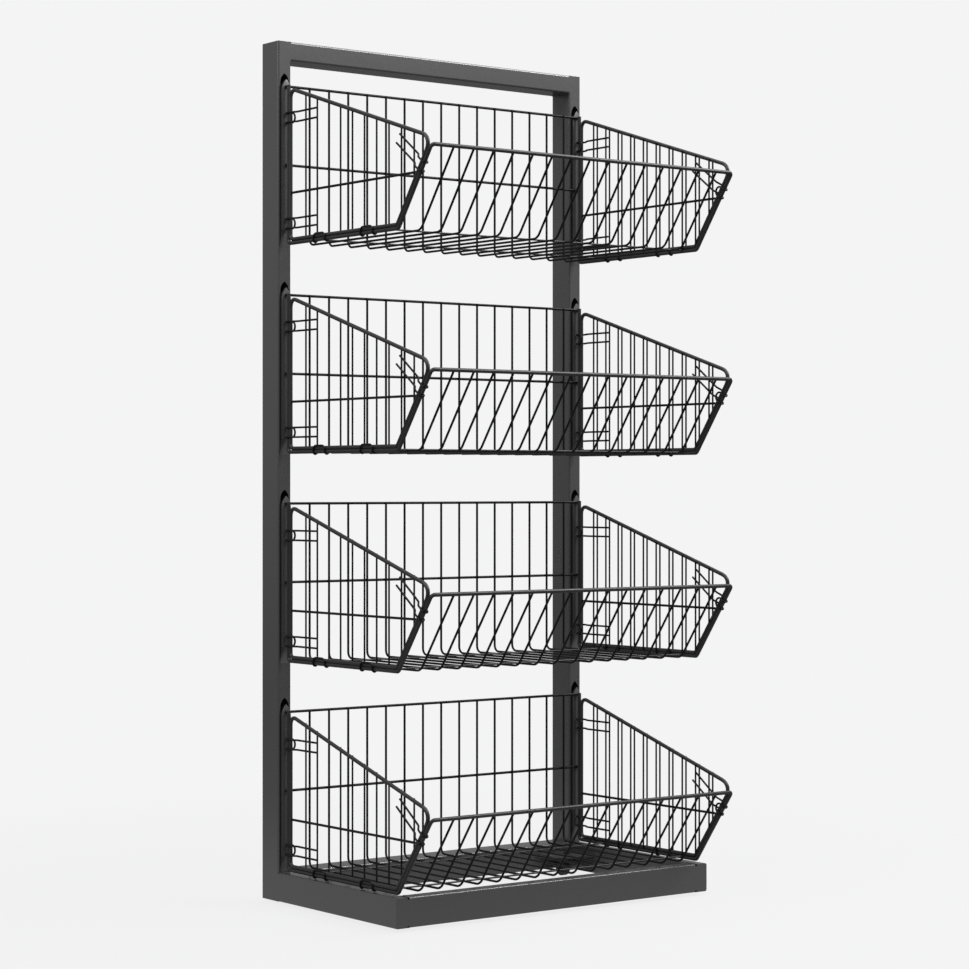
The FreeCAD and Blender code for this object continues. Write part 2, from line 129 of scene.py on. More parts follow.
bpy.ops.object.camera_add(location=camera_place, rotation=(math.pi / 2, 0, camera_heading))
camera = bpy.context.object
camera.data.sensor_width = sensor_width
camera.data.lens = sensor_width * focal_length_pixels / image_side
camera.data.shift_y = camera_shift
bpy.context.scene.camera = camera
print("lens in millimetres:", round(camera.data.lens, 1))

# %% [markdown]
# ## Studio
#
# Catalogue photographs like this one are cut out on pale paper: the background is one even tone, the
# shadow is faint, and dark paint shows deep blacks because little but the lamps is mirrored in it.
# A Light Path node gives both here. The camera sees pale paper all round, and every other ray meets
# a dim room, so that only the soft boxes draw bright lines along the edges of the steel. A wide box
# hangs overhead and one stands on the left. A small bright one, high at the front right, draws the
# thin pale lines on the tubes' upper front edges.

# %% Shader helper
def add_node(tree, kind, place, settings=None, values=None):
    """Add a shader node, set its options by name and its inputs by socket name or number."""
    node = tree.nodes.new(kind)
    node.location = place
    for name, value in (settings or {}).items():
        setattr(node, name, value)
    for socket, value in (values or {}).items():
        node.inputs[socket].default_value = value
    return node


# %% Floor
paper = (0.905, 0.905, 0.907, 1)
paper_in_light = (0.55, 0.55, 0.55, 1)
room = (0.30, 0.30, 0.30, 1)
floor_radius = 40.0
floor_sides = 96
shadow_share = 0.10
near_rack = 0.9
far_from_rack = 2.4
bounce_near = 1.3
bounce_far = 0.5

start_clean()
bpy.ops.mesh.primitive_circle_add(vertices=floor_sides, radius=floor_radius, fill_type="NGON")
floor = bpy.context.object
floor.name = "studio_floor"

floor_paint = bpy.data.materials.new("studio_floor")
floor_paint.use_nodes = True
floor_paint.cycles.emission_sampling = "NONE"
tree = floor_paint.node_tree
tree.nodes.clear()
coordinates = add_node(tree, "ShaderNodeTexCoord", (-1100, 0))
distance = add_node(tree, "ShaderNodeVectorMath", (-900, 0), {"operation": "LENGTH"})
share = add_node(tree, "ShaderNodeMapRange", (-700, 200), {"interpolation_type": "SMOOTHSTEP"}, {
    "From Min": near_rack, "From Max": far_from_rack, "To Min": shadow_share, "To Max": 0.0})
bounce = add_node(tree, "ShaderNodeMapRange", (-700, -300), {"interpolation_type": "SMOOTHSTEP"}, {
    "From Min": near_rack, "From Max": far_from_rack, "To Min": bounce_near, "To Max": bounce_far})
even_paper = add_node(tree, "ShaderNodeEmission", (-500, 100), values={"Color": paper})
shaded_paper = add_node(tree, "ShaderNodeBsdfDiffuse", (-500, -50), values={"Color": paper_in_light})
dim_floor = add_node(tree, "ShaderNodeEmission", (-500, -250), values={"Color": room})
seen = add_node(tree, "ShaderNodeMixShader", (-300, 50))
path = add_node(tree, "ShaderNodeLightPath", (-500, 500))
choose = add_node(tree, "ShaderNodeMixShader", (-100, 0))
output = add_node(tree, "ShaderNodeOutputMaterial", (100, 0))
tree.links.new(coordinates.outputs["Object"], distance.inputs[0])
tree.links.new(distance.outputs["Value"], share.inputs["Value"])
tree.links.new(distance.outputs["Value"], bounce.inputs["Value"])
tree.links.new(share.outputs["Result"], seen.inputs["Fac"])
tree.links.new(even_paper.outputs["Emission"], seen.inputs[1])
tree.links.new(shaded_paper.outputs["BSDF"], seen.inputs[2])
tree.links.new(bounce.outputs["Result"], dim_floor.inputs["Strength"])
tree.links.new(path.outputs["Is Camera Ray"], choose.inputs["Fac"])
tree.links.new(dim_floor.outputs["Emission"], choose.inputs[1])
tree.links.new(seen.outputs["Shader"], choose.inputs[2])
tree.links.new(choose.outputs["Shader"], output.inputs["Surface"])
floor.data.materials.append(floor_paint)
print("floor radius in metres:", floor_radius)

# %% Background
world = bpy.data.worlds.new("studio")
bpy.context.scene.world = world
world.use_nodes = True
tree = world.node_tree
tree.nodes.clear()
path = add_node(tree, "ShaderNodeLightPath", (-600, 200))
dim_room = add_node(tree, "ShaderNodeBackground", (-400, 0), values={"Color": room})
even_paper = add_node(tree, "ShaderNodeBackground", (-400, -200), values={"Color": paper})
choose = add_node(tree, "ShaderNodeMixShader", (-200, 0))
output = add_node(tree, "ShaderNodeOutputWorld", (0, 0))
tree.links.new(path.outputs["Is Camera Ray"], choose.inputs["Fac"])
tree.links.new(dim_room.outputs["Background"], choose.inputs[1])
tree.links.new(even_paper.outputs["Background"], choose.inputs[2])
tree.links.new(choose.outputs["Shader"], output.inputs["Surface"])
bpy.context.scene.view_settings.view_transform = "Standard"
print("background tone:", paper[:3])


# %% Soft boxes
def soft_box(name, place, target, width, height, radiance):
    """A rectangular area light that faces a target and shows only in what it lights."""
    turn = (Vector(target) - Vector(place)).to_track_quat("-Z", "Y").to_euler()
    start_clean()
    bpy.ops.object.light_add(type="AREA", location=place, rotation=turn)
    light = bpy.context.object
    light.name = name
    light.visible_camera = False
    light.data.shape = "RECTANGLE"
    light.data.size = width
    light.data.size_y = height
    light.data.energy = radiance * width * height * math.pi
    return light


rack_middle = (0, 0, 0.9)
overhead_place = (1.2, -0.6, 4.6)
under_overhead = (1.2, -0.6, 0)
overhead_width = 6.5
overhead_depth = 4.5
overhead_radiance = 2.0
left_place = (-4.2, 0.3, 4.0)
left_size = 3.0
left_radiance = 4.2
edge_box_place = (2.4, -2.1, 3.8)
edge_box_width = 2.8
edge_box_height = 1.1
edge_box_radiance = 16.0

soft_box("overhead_box", overhead_place, under_overhead, overhead_width, overhead_depth, overhead_radiance)
soft_box("left_box", left_place, rack_middle, left_size, left_size, left_radiance)
soft_box("edge_box", edge_box_place, rack_middle, edge_box_width, edge_box_height, edge_box_radiance)

# %% [markdown]
# ## Finishes
#
# Powder coat melts on the metal, so it never lies quite flat: a fine grain and a wider orange peel
# show in its gloss. One node group makes both, and every coated material uses it with its own
# scales. It puts out a slow tone for the colour, a mask for the gloss and a height for the bump.

# %% Powder grain group
noise_detail = {"Grain": 2.0, "Peel": 1.0, "Tone": 3.0}
grain_in_height = 0.6
tone_in_gloss = 0.5
peel_in_gloss = 0.5


def make_powder_grain():
    group = bpy.data.node_groups.new("powder_grain", "ShaderNodeTree")
    for name in ("Grain Scale", "Peel Scale", "Tone Scale"):
        group.interface.new_socket(name, in_out="INPUT", socket_type="NodeSocketFloat")
    for name in ("Tone", "Gloss", "Height"):
        group.interface.new_socket(name, in_out="OUTPUT", socket_type="NodeSocketFloat")
    inputs = add_node(group, "NodeGroupInput", (-900, 0))
    outputs = add_node(group, "NodeGroupOutput", (300, 0))
    coordinates = add_node(group, "ShaderNodeTexCoord", (-900, -250))
    layers = {}
    for row, (name, detail) in enumerate(noise_detail.items()):
        layer = add_node(group, "ShaderNodeTexNoise", (-600, -250 * row), values={"Detail": detail})
        group.links.new(coordinates.outputs["Object"], layer.inputs["Vector"])
        group.links.new(inputs.outputs[name + " Scale"], layer.inputs["Scale"])
        layers[name] = layer.outputs["Fac"]
    mixing = {"operation": "MULTIPLY_ADD"}
    height = add_node(group, "ShaderNodeMath", (-200, 0), mixing, {1: grain_in_height})
    gloss = add_node(group, "ShaderNodeMath", (-200, -250), mixing, {1: tone_in_gloss})
    peel = add_node(group, "ShaderNodeMath", (-400, -300), {"operation": "MULTIPLY"}, {1: peel_in_gloss})
    group.links.new(layers["Grain"], height.inputs[0])
    group.links.new(layers["Peel"], height.inputs[2])
    group.links.new(layers["Peel"], peel.inputs[0])
    group.links.new(layers["Tone"], gloss.inputs[0])
    group.links.new(peel.outputs["Value"], gloss.inputs[2])
    group.links.new(layers["Tone"], outputs.inputs["Tone"])
    group.links.new(gloss.outputs["Value"], outputs.inputs["Gloss"])
    group.links.new(height.outputs["Value"], outputs.inputs["Height"])
    return group


powder_grain = make_powder_grain()
grain_outputs = [socket.name for socket in powder_grain.interface.items_tree if socket.in_out == "OUTPUT"]
print("powder grain puts out:", grain_outputs)

# %% [markdown]
# ## Coats of the rack
#
# Frame and baskets are all powder coated in one charcoal, but not drawn in one tone: the rods' and
# wires' coats are darker copies of it with painted shade, the thick rods darker than the frame and
# the thin wires almost black. So each gets a coat of its own, from one function. The castors' steel
# is plated black, their hubs are plastic and their tyres rubber.

# %% Coats, plating, plastic and rubber
noise_range = (0.3, 0.7)


def grained_material(name, dark, light, gloss_range, scales, bump, specular=0.5):
    """A surface whose colour, gloss and bump all follow the powder grain group."""
    material = bpy.data.materials.new(name)
    material.use_nodes = True
    tree = material.node_tree
    shader = tree.nodes["Principled BSDF"]
    shader.inputs["Specular IOR Level"].default_value = specular
    grain = add_node(tree, "ShaderNodeGroup", (-900, 0), {"node_tree": powder_grain},
                     dict(zip(("Grain Scale", "Peel Scale", "Tone Scale"), scales)))
    colour = add_node(tree, "ShaderNodeMix", (-500, 200), {"data_type": "RGBA"})
    colour.inputs["A"].default_value = (*dark, 1)
    colour.inputs["B"].default_value = (*light, 1)
    gloss = add_node(tree, "ShaderNodeMapRange", (-500, 0), values={
        "From Min": noise_range[0], "From Max": noise_range[1],
        "To Min": gloss_range[0], "To Max": gloss_range[1]})
    strength, depth = bump
    relief = add_node(tree, "ShaderNodeBump", (-500, -250), values={
        "Strength": strength, "Distance": depth})
    tree.links.new(grain.outputs["Tone"], colour.inputs["Factor"])
    tree.links.new(grain.outputs["Gloss"], gloss.inputs["Value"])
    tree.links.new(grain.outputs["Height"], relief.inputs["Height"])
    tree.links.new(colour.outputs["Result"], shader.inputs["Base Color"])
    tree.links.new(gloss.outputs["Result"], shader.inputs["Roughness"])
    tree.links.new(relief.outputs["Normal"], shader.inputs["Normal"])
    return material


frame_coat = grained_material(
    "charcoal_powder_coat", (0.056, 0.056, 0.057), (0.064, 0.064, 0.065), (0.25, 0.29),
    (900, 160, 4), (0.008, 0.2 * mm), specular=1.0)
# The hanger coat is a lighter copy of the frame's charcoal: a painted light on the hangers' front faces.
hanger_coat_painted_light = grained_material(
    "hanger_powder_coat_painted_light", (0.085, 0.085, 0.086), (0.095, 0.095, 0.096), (0.28, 0.34),
    (900, 160, 4), (0.03, 0.2 * mm), specular=0.9)
# The rod coat and the black wire coat are darker copies of the frame's charcoal, with painted shade.
rod_coat_painted_shade = grained_material(
    "rod_powder_coat_painted_shade", (0.022, 0.022, 0.0225), (0.031, 0.031, 0.0315), (0.34, 0.46),
    (1000, 200, 7), (0.06, 0.15 * mm), specular=0.35)
wire_coat = grained_material(
    "black_powder_coat_painted_shade", (0.006, 0.006, 0.0062), (0.011, 0.011, 0.0113), (0.3, 0.45),
    (1200, 260, 9), (0.1, 0.15 * mm), specular=0.15)
black_zinc = grained_material(
    "black_zinc_plate", (0.020, 0.020, 0.022), (0.034, 0.034, 0.036), (0.4, 0.55),
    (500, 90, 30), (0.05, 0.1 * mm), specular=0.3)
moulded_plastic = grained_material(
    "moulded_hub_plastic", (0.03, 0.03, 0.032), (0.045, 0.045, 0.047), (0.45, 0.6),
    (1500, 400, 20), (0.1, 0.1 * mm))
tyre_rubber = grained_material(
    "tyre_rubber", (0.018, 0.018, 0.018), (0.045, 0.044, 0.042), (0.6, 0.8),
    (1100, 300, 25), (0.25, 0.2 * mm))


def finish(piece, material, slot, body, *nodes):
    """Give a piece its finish unless it has one, its body to ride on and the CAD nodes it stands for."""
    if not piece.data.materials:
        piece.data.materials.append(material)
    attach(piece, body)
    if nodes:
        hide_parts(*nodes)


print("finishes:", [m.name for m in bpy.data.materials])

# %% [markdown]
# ## The tube frame
#
# Rectangular tube is rolled from strip, so its long edges are round and its ends are cut square. A
# cube takes the tube's size, a bevel rounds the four long edges, and the end faces are inset by the
# wall and bridged, which opens the tube from end to end. Ends that show get a small eased rim, and
# the base's front rail has a tighter corner, which keeps the light on its upper edge to a thin line.
# Weighted normals then keep the wide faces flat and let only the corners turn the light.

# %% Tubes
tube_wall = 2.0 * mm
tube_corner = 4.0 * mm
front_corner = 3.0 * mm
corner_steps = 6
eased_rim = 0.5 * mm
rim_steps = 2
tube_crease = 35
aligned = 0.999


def add_block(name, low, high):
    """A cube that fills a box, with its place in its mesh."""
    start_clean()
    bpy.ops.mesh.primitive_cube_add(size=1, location=(low + high) / 2, scale=high - low)
    bpy.ops.object.transform_apply(location=True, rotation=True, scale=True)
    block = bpy.context.object
    block.name = name
    return block


def runs_along(edge, axis):
    """True if an edge is parallel to an axis, given by number."""
    run = edge.verts[1].co - edge.verts[0].co
    return abs(run[axis]) > aligned * run.length


def is_end(face, axis, ends):
    """True if a face closes one of the ends, given as -1 or 1, along an axis."""
    return any(face.normal[axis] * end > aligned for end in ends)


def weigh_normals(piece):
    smooth(piece, tube_crease)
    bpy.ops.object.modifier_add(type="WEIGHTED_NORMAL")
    modifier = piece.modifiers[-1]
    modifier.keep_sharp = True
    bpy.ops.object.modifier_apply(modifier=modifier.name)


def model_tube(name, node, axis, eased_ends=(), corner=tube_corner):
    """A hollow tube in a node's box, with its listed ends eased."""
    tube = add_block(name, *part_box(node))
    edit()
    pick(tube, "EDGE", lambda edge: runs_along(edge, axis))
    bpy.ops.mesh.bevel(offset=corner, segments=corner_steps, affect="EDGES")
    if eased_ends:
        pick(tube, "FACE", lambda face: is_end(face, axis, eased_ends))
        bpy.ops.mesh.region_to_loop()
        bpy.ops.mesh.bevel(offset=eased_rim, segments=rim_steps, affect="EDGES")
    pick(tube, "FACE", lambda face: is_end(face, axis, (-1, 1)))
    bpy.ops.mesh.inset(thickness=tube_wall - (eased_rim if eased_ends else 0), use_individual=True)
    bpy.ops.mesh.bridge_edge_loops()
    leave_edit()
    return tube


def cut_away(piece, cutter):
    """Cut one piece's shape out of another, and delete the cutter."""
    focus(piece)
    bpy.ops.object.modifier_add(type="BOOLEAN")
    modifier = piece.modifiers[-1]
    modifier.operation = "DIFFERENCE"
    modifier.object = cutter
    bpy.ops.object.modifier_apply(modifier=modifier.name)
    focus(cutter)
    bpy.ops.object.delete()


tubes = {
    "left_post": model_tube("post_left", "left_post", 2, (-1, 1)),
    "right_post": model_tube("post_right", "right_post", 2, (-1, 1)),
    "top_rail": model_tube("rail_top", "top_rail", 0),
    "lower_back_rail": model_tube("rail_lower_back", "lower_back_rail", 0),
    "base_left_rail": model_tube("base_rail_left", "base_left_rail", 1),
    "base_right_rail": model_tube("base_rail_right", "base_right_rail", 1),
    "base_front_rail": model_tube("base_rail_front", "base_front_rail", 0, corner=front_corner),
}
print("tubes:", len(tubes))

# %% [markdown]
# ## End plates
#
# Small plates close the open ends of the posts and of the base's side rails. Each is a block set into
# the tube's mouth, its edges rounded to fit the tube's inside. The posts' plates have an eased rim and
# the base's plates, which face the front, are ground flush.

# %% End plates
plate_thickness = 2.0 * mm
plate_clearance = 0.05 * mm
plate_margin = tube_wall + plate_clearance


def model_end_plate(node, axis, end, eased):
    """A plate set into one end, -1 or 1, of the tube in a node's box, its rim eased or ground flush."""
    low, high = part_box(node)
    if end < 0:
        high[axis] = low[axis] + plate_thickness
    else:
        low[axis] = high[axis] - plate_thickness
    inset = Vector([0 if i == axis else plate_margin for i in range(3)])
    plate = add_block("plate", low + inset, high - inset)
    edit()
    pick(plate, "EDGE", lambda edge: runs_along(edge, axis))
    bpy.ops.mesh.bevel(offset=tube_corner - tube_wall, segments=corner_steps, affect="EDGES")
    if eased:
        pick(plate, "FACE", lambda face: is_end(face, axis, (end,)))
        bpy.ops.mesh.region_to_loop()
        bpy.ops.mesh.bevel(offset=eased_rim, segments=rim_steps, affect="EDGES")
    leave_edit()
    return plate


end_plates = {
    "post_end_plates": [
        model_end_plate(post, 2, end, True) for post in ("left_post", "right_post") for end in (-1, 1)],
    "base_end_plates": [
        model_end_plate(rail, 1, -1, False) for rail in ("base_left_rail", "base_right_rail")],
}
for node, plates in end_plates.items():
    plate_set = join(plates, f"set_{node}")
    smooth(plate_set, tube_crease)
    finish(plate_set, frame_coat, "frame_coat", "frame", node)
print("end plates:", {node: len(plates) for node, plates in end_plates.items()})

# %% [markdown]
# ## Welded corners
#
# Where two tubes meet, the rounded edge of one would leave a groove beside the flat face of the other.
# The welder fills it and grinds it flush. A block is put in each such corner and a bisect along its
# diagonal leaves the prism that fills the rounding.

# %% Weld fills
weld_crease = 30


def weld_fill(corner, run, into):
    """A prism from a sharp corner along a run, reaching into the tube whose rounding it fills."""
    far = corner + run + into
    fill = add_block("fill", Vector(map(min, corner, far)), Vector(map(max, corner, far)))
    edit()
    bpy.ops.mesh.select_all(action="SELECT")
    bpy.ops.mesh.bisect(plane_co=corner + into / 2, plane_no=into, use_fill=True, clear_outer=True)
    leave_edit()
    return fill


def upright_fill(x, y, node, into_x, into_y):
    """A fill beside a post, as tall as a node."""
    low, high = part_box(node)
    return weld_fill(Vector((x, y, low.z)), Vector((0, 0, high.z - low.z)), Vector((into_x, into_y, 0)))


fills = []
for side, post, rail in ((-1, "left_post", "base_left_rail"), (1, "right_post", "base_right_rail")):
    low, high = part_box(post)
    inner, outer = (high.x, low.x) if side < 0 else (low.x, high.x)
    into = side * tube_corner
    fills.append(upright_fill(inner, low.y, "top_rail", into, tube_corner))
    fills.append(upright_fill(inner, high.y, "top_rail", into, -tube_corner))
    fills.append(upright_fill(inner, high.y, "lower_back_rail", into, -tube_corner))
    fills.append(upright_fill(inner, low.y, rail, into, tube_corner))
    fills.append(upright_fill(outer, low.y, rail, -into, tube_corner))
    low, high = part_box("base_front_rail")
    for z, drop in ((high.z, -tube_corner), (low.z, tube_corner)):
        corner = Vector((inner, low.y, z))
        fills.append(weld_fill(corner, Vector((0, high.y - low.y, 0)), Vector((into, 0, drop))))
fill_count = len(fills)
weld_fills = join(fills, "weld_fills")
smooth(weld_fills, weld_crease)
finish(weld_fills, frame_coat, "frame_coat", "frame")
print("weld fills:", fill_count)

# %% [markdown]
# ## Wire work
#
# Every basket is bent from round wire. By hand, a wire is drawn as a chain of edges pulled out of
# one point, its corners are rounded with a vertex bevel, and the chain becomes a curve with a round
# section, thicker than the bare wire by the paint that builds up on it. Turned back into a mesh, its
# cut ends are closed and chamfered.

# %% Drawing wires
wire_sides = 10
bend_steps = 6
coat_build = 0.38 * mm
end_chamfer = 0.35 * mm
same_place = 0.02 * mm
wire_crease = 40
wall_face_corners = 4
print("sides of a wire:", wire_sides, "paint in millimetres:", coat_build / mm)


def begin_wires(name):
    """An empty mesh, in edit mode, to draw wires in."""
    start_clean()
    bpy.ops.mesh.primitive_plane_add(size=1)
    bpy.context.object.name = name
    edit()
    bpy.ops.mesh.select_mode(type="VERT")
    bpy.ops.mesh.delete(type="VERT")
    return bpy.context.object


def draw_wire(points):
    """Drop a point and pull edges out of it, through the other points."""
    bpy.ops.mesh.primitive_plane_add(size=mm, location=points[0])
    bpy.ops.mesh.merge(type="CENTER")
    for here, there in zip(points, points[1:]):
        bpy.ops.mesh.extrude_vertices_move(TRANSFORM_OT_translate={"value": there - here})


def close_wire(piece, first, last):
    """Join a wire's two ends into a loop."""
    ends = (first, last)
    pick(piece, "VERT", lambda vertex: min((vertex.co - end).length for end in ends) < same_place)
    bpy.ops.mesh.edge_face_add()


# %% Bending and thickening wires
def bend_corners(piece, points, radii):
    """Round each corner of a wire to its radius, given for every point and zero at the free ends."""
    count = len(points)
    by_reach = {}
    for i, radius in enumerate(radii):
        if radius > 0:
            run_in = points[i] - points[i - 1]
            run_out = points[(i + 1) % count] - points[i]
            reach = radius * math.tan(run_in.angle(run_out) / 2)
            by_reach.setdefault(round(reach, 7), []).append(points[i])
    for reach, corners in by_reach.items():
        pick(piece, "VERT", lambda vertex: min((vertex.co - c).length for c in corners) < same_place)
        bpy.ops.mesh.bevel(offset=reach, segments=bend_steps, affect="VERTICES")


def give_section(piece, diameter):
    """Leave edit mode and turn the drawn edges into round wire with chamfered ends."""
    bpy.ops.mesh.select_all(action="SELECT")
    bpy.ops.mesh.remove_doubles(threshold=same_place)
    leave_edit()
    focus(piece)
    bpy.ops.object.convert(target="CURVE")
    piece.data.bevel_depth = diameter / 2 + coat_build
    piece.data.bevel_resolution = wire_sides // 2 - 2
    bpy.ops.object.convert(target="MESH")
    edit()
    bpy.ops.mesh.select_all(action="SELECT")
    bpy.ops.mesh.remove_doubles(threshold=same_place)
    bpy.ops.mesh.fill_holes(sides=0)
    pick(piece, "FACE", lambda face: len(face.verts) > wall_face_corners)
    bpy.ops.mesh.inset(thickness=end_chamfer, depth=end_chamfer, use_individual=True)
    bpy.ops.mesh.select_all(action="SELECT")
    bpy.ops.mesh.normals_make_consistent(inside=False)
    leave_edit()
    smooth(piece, wire_crease)


# %% Pieces of several wires
def bent_wires(name, wires, diameter):
    """One piece of several wires, each given as its points and bend radii."""
    piece = begin_wires(name)
    for points, radii in wires:
        draw_wire(points)
        bend_corners(piece, points, radii)
    give_section(piece, diameter)
    return piece


def straight_wires(name, ends, diameter):
    """One piece of several straight wires, each given as its two ends."""
    return bent_wires(name, [(pair, (0, 0)) for pair in ends], diameter)


def repeat(piece, count, step):
    """Copies of a piece in a row, by an applied array."""
    focus(piece)
    bpy.ops.object.modifier_add(type="ARRAY")
    modifier = piece.modifiers[-1]
    modifier.count = count
    modifier.use_relative_offset = False
    modifier.use_constant_offset = True
    modifier.constant_offset_displace = step
    bpy.ops.object.modifier_apply(modifier=modifier.name)


# %% [markdown]
# ## Sizes of a basket
#
# All four baskets are alike, so one is modelled at the lowest tier and copied up. Its places come
# from the frame: depths count forward from the posts' faces and heights from the edge rod's axis.

# %% Basket sizes
edge_rod = 7.5 * mm
loop_rod = 7.5 * mm
back_rail_rod = 5.0 * mm
mat_wire = 4.0 * mm
cross_wire = 3.0 * mm
long_wire = 4.5 * mm
upright_wire = 3.0 * mm
clip_wire = 3.5 * mm
weld_gap = 0.05 * mm

tiers = (1, 2, 3, 4)
edge_heights = {tier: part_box(f"basket_{tier}_edge_rod")[0].z + edge_rod / 2 for tier in tiers}
post_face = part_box("left_post")[0].y
side_plane = (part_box("left_post")[0].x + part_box("left_post")[1].x) / -2

back_height = 328.5 * mm
back_middle_height = 164.0 * mm
front_rise = 154.6 * mm
floor_depth = 415.5 * mm
front_reach = 527.3 * mm
hanger_gap = 0.2 * mm
hanger_depth = 7.0 * mm
hanger_face = hanger_gap + hanger_depth
rail_depth = hanger_face + weld_gap + back_rail_rod / 2
mat_depth = rail_depth + back_rail_rod / 2 + weld_gap + mat_wire / 2
edge_depth = rail_depth + back_rail_rod / 2 + weld_gap + edge_rod / 2
rod_pitch = edge_rod / 2 + loop_rod / 2 + 2 * weld_gap
loop_depth = edge_depth + rod_pitch
lean = Vector((front_reach - floor_depth, front_rise))
lean_length = lean.length
lean.normalize()


def place(x, depth, height):
    """A point of the lowest basket."""
    return Vector((x, post_face - depth, edge_heights[1] + height))


def lean_depth(height, offset):
    """Depth of the leaning line an offset inside the edge rod, at a height."""
    return floor_depth - offset * lean.y + (height - offset * lean.x) / lean.y * lean.x


def lean_height(depth, offset):
    """Height of that line at a depth."""
    return offset * lean.x + (depth - floor_depth + offset * lean.y) / lean.x * lean.y


print("edge rod heights in metres:", [round(height, 4) for height in edge_heights.values()])

# %% [markdown]
# ## Wire mat and cross wires
#
# Fifteen wires run down the back, along the floor and up the leaning front in one piece each. One
# is bent and arrayed. Two straight wires lie across them, sunk in a little as a spot weld sinks
# them, and two rails tie them behind the back.

# %% Wire mat
mat_wire_count = 15
mat_side_gap = 48.75 * mm
mat_wire_step = 2 * (side_plane - mat_side_gap) / (mat_wire_count - 1)
mat_shift = 4.4 * mm
mat_first_x = mat_shift - (mat_wire_count - 1) / 2 * mat_wire_step
mat_height = -0.6 * mm
mat_lean_out = 0.8 * mm
mat_back_bend = 14.0 * mm
mat_front_bend = 22.0 * mm
mat_back_rise = 1.0 * mm

mat_top = (lean_length - edge_rod / 2) * lean.y - mat_lean_out * lean.x
mat_points = [
    place(mat_first_x, mat_depth, back_height + mat_back_rise),
    place(mat_first_x, mat_depth, mat_height),
    place(mat_first_x, lean_depth(mat_height, -mat_lean_out), mat_height),
    place(mat_first_x, lean_depth(mat_top, -mat_lean_out), mat_top),
]
basket = {}
basket["wire_mat"] = bent_wires("mat", [(mat_points, (0, mat_back_bend, mat_front_bend, 0))], mat_wire)
repeat(basket["wire_mat"], mat_wire_count, (mat_wire_step, 0, 0))
print("mat wires:", mat_wire_count, "step in millimetres:", round(mat_wire_step / mm, 2))

# %% Cross wires and back rails
cross_wire_count = 2
cross_wire_first = 111.5 * mm
cross_wire_step = 261.5 * mm
back_rail_overlap = 3.5 * mm
weld_sink = 1.2 * mm

cross_height = mat_height + mat_wire / 2 + cross_wire / 2 - weld_sink
cross_reach = side_plane - edge_rod / 2
cross_ends = [place(x, cross_wire_first, cross_height) for x in (-cross_reach, cross_reach)]
cross = straight_wires("cross", [cross_ends], cross_wire)
repeat(cross, cross_wire_count, (0, -cross_wire_step, 0))
cross.data.materials.append(rod_coat_painted_shade)
rail_reach = side_plane + back_rail_overlap
rail_ends = [
    [place(-rail_reach, rail_depth, height), place(rail_reach, rail_depth, height)]
    for height in (back_middle_height, back_height)
]
rails = straight_wires("rails", rail_ends, back_rail_rod)
# The back rails take the black wire coat, with more painted shade than the cross wires' rod coat.
rails.data.materials.append(wire_coat)
basket["cross_wires"] = join([rails, cross], "cross_wires")
print("cross wires:", cross_wire_count, "back rails:", len(rail_ends))

# %% [markdown]
# ## Edge rod
#
# One thick rod frames the basket: up the back corner, along the floor's side, up the leaning front,
# across and down the other side. It is a single bent wire.

# %% Edge rod
edge_bend = 8.0 * mm
rod_left = [
    place(-side_plane, edge_depth, back_height + back_rail_rod / 2),
    place(-side_plane, edge_depth, 0),
    place(-side_plane, floor_depth, 0),
    place(-side_plane, front_reach, front_rise),
]
rod_right = [Vector((-point.x, point.y, point.z)) for point in reversed(rod_left)]
rod_points = rod_left + rod_right
rod_bends = [0] + [edge_bend] * (len(rod_points) - 2) + [0]
basket["edge_rod"] = bent_wires("edge_rod", [(rod_points, rod_bends)], edge_rod)
# The edge rod takes the rod coat, a darker copy of the frame's charcoal with painted shade.
basket["edge_rod"].data.materials.append(rod_coat_painted_shade)
print("bends of the edge rod:", len(rod_points) - 2)

# %% [markdown]
# ## Hanger bars
#
# A flat bar with a pointed head lies on each post's face, and hook tabs at its back drop into slots
# of the post. A cube makes the shank, its top face is pulled up in short steps that narrow along a
# round arch to the point, and a bisect cuts the sloping foot. The visible edges are then eased.

# %% Hanger sizes
hanger_width = 23.0 * mm
hanger_head = 16.0 * mm
hanger_head_drop = 10.0 * mm
hanger_foot = 6.0 * mm
hanger_foot_slope = 35.0 * mm
hanger_edge = 0.7 * mm
hanger_edge_steps = 3
hanger_crease = 30
front_facing = 0.9
head_steps = 10
head_point = 0.01 * mm
head_merge = 3 * head_point
tab_thickness = 5.0 * mm
tab_neck = 12.0 * mm
tab_lip = 10.0 * mm
tab_lip_thickness = 3.0 * mm
tab_gap = 0.3 * mm
tab_reach = tube_wall + tab_gap
tab_heights = (40.0 * mm, 296.0 * mm)
print("hanger length in millimetres:", round((hanger_foot + back_height + hanger_head) / mm, 1))


# %% Pointed head and hook tab
def raise_head(piece, middle, half, spring, peak):
    """Pull a block's top face up in short steps that narrow along a round arch to a point."""
    rise = peak - spring
    radius = (half ** 2 + rise ** 2) / (2 * half)
    sweep = math.asin(rise / radius)
    width = half
    reached = 0
    pick(piece, "FACE", lambda face: is_end(face, 2, (1,)))
    for step in range(1, head_steps + 1):
        turn = sweep * step / head_steps
        climbed = radius * math.sin(turn)
        narrower = max(radius * math.cos(turn) - (radius - half), head_point)
        bpy.ops.mesh.extrude_region_move(TRANSFORM_OT_translate={"value": (0, 0, climbed - reached)})
        centre = place(middle, 0, spring + climbed)
        bpy.ops.transform.resize(value=(narrower / width, 1, 1), center_override=centre)
        width = narrower
        reached = climbed
    bpy.ops.mesh.select_all(action="SELECT")
    bpy.ops.mesh.remove_doubles(threshold=head_merge)


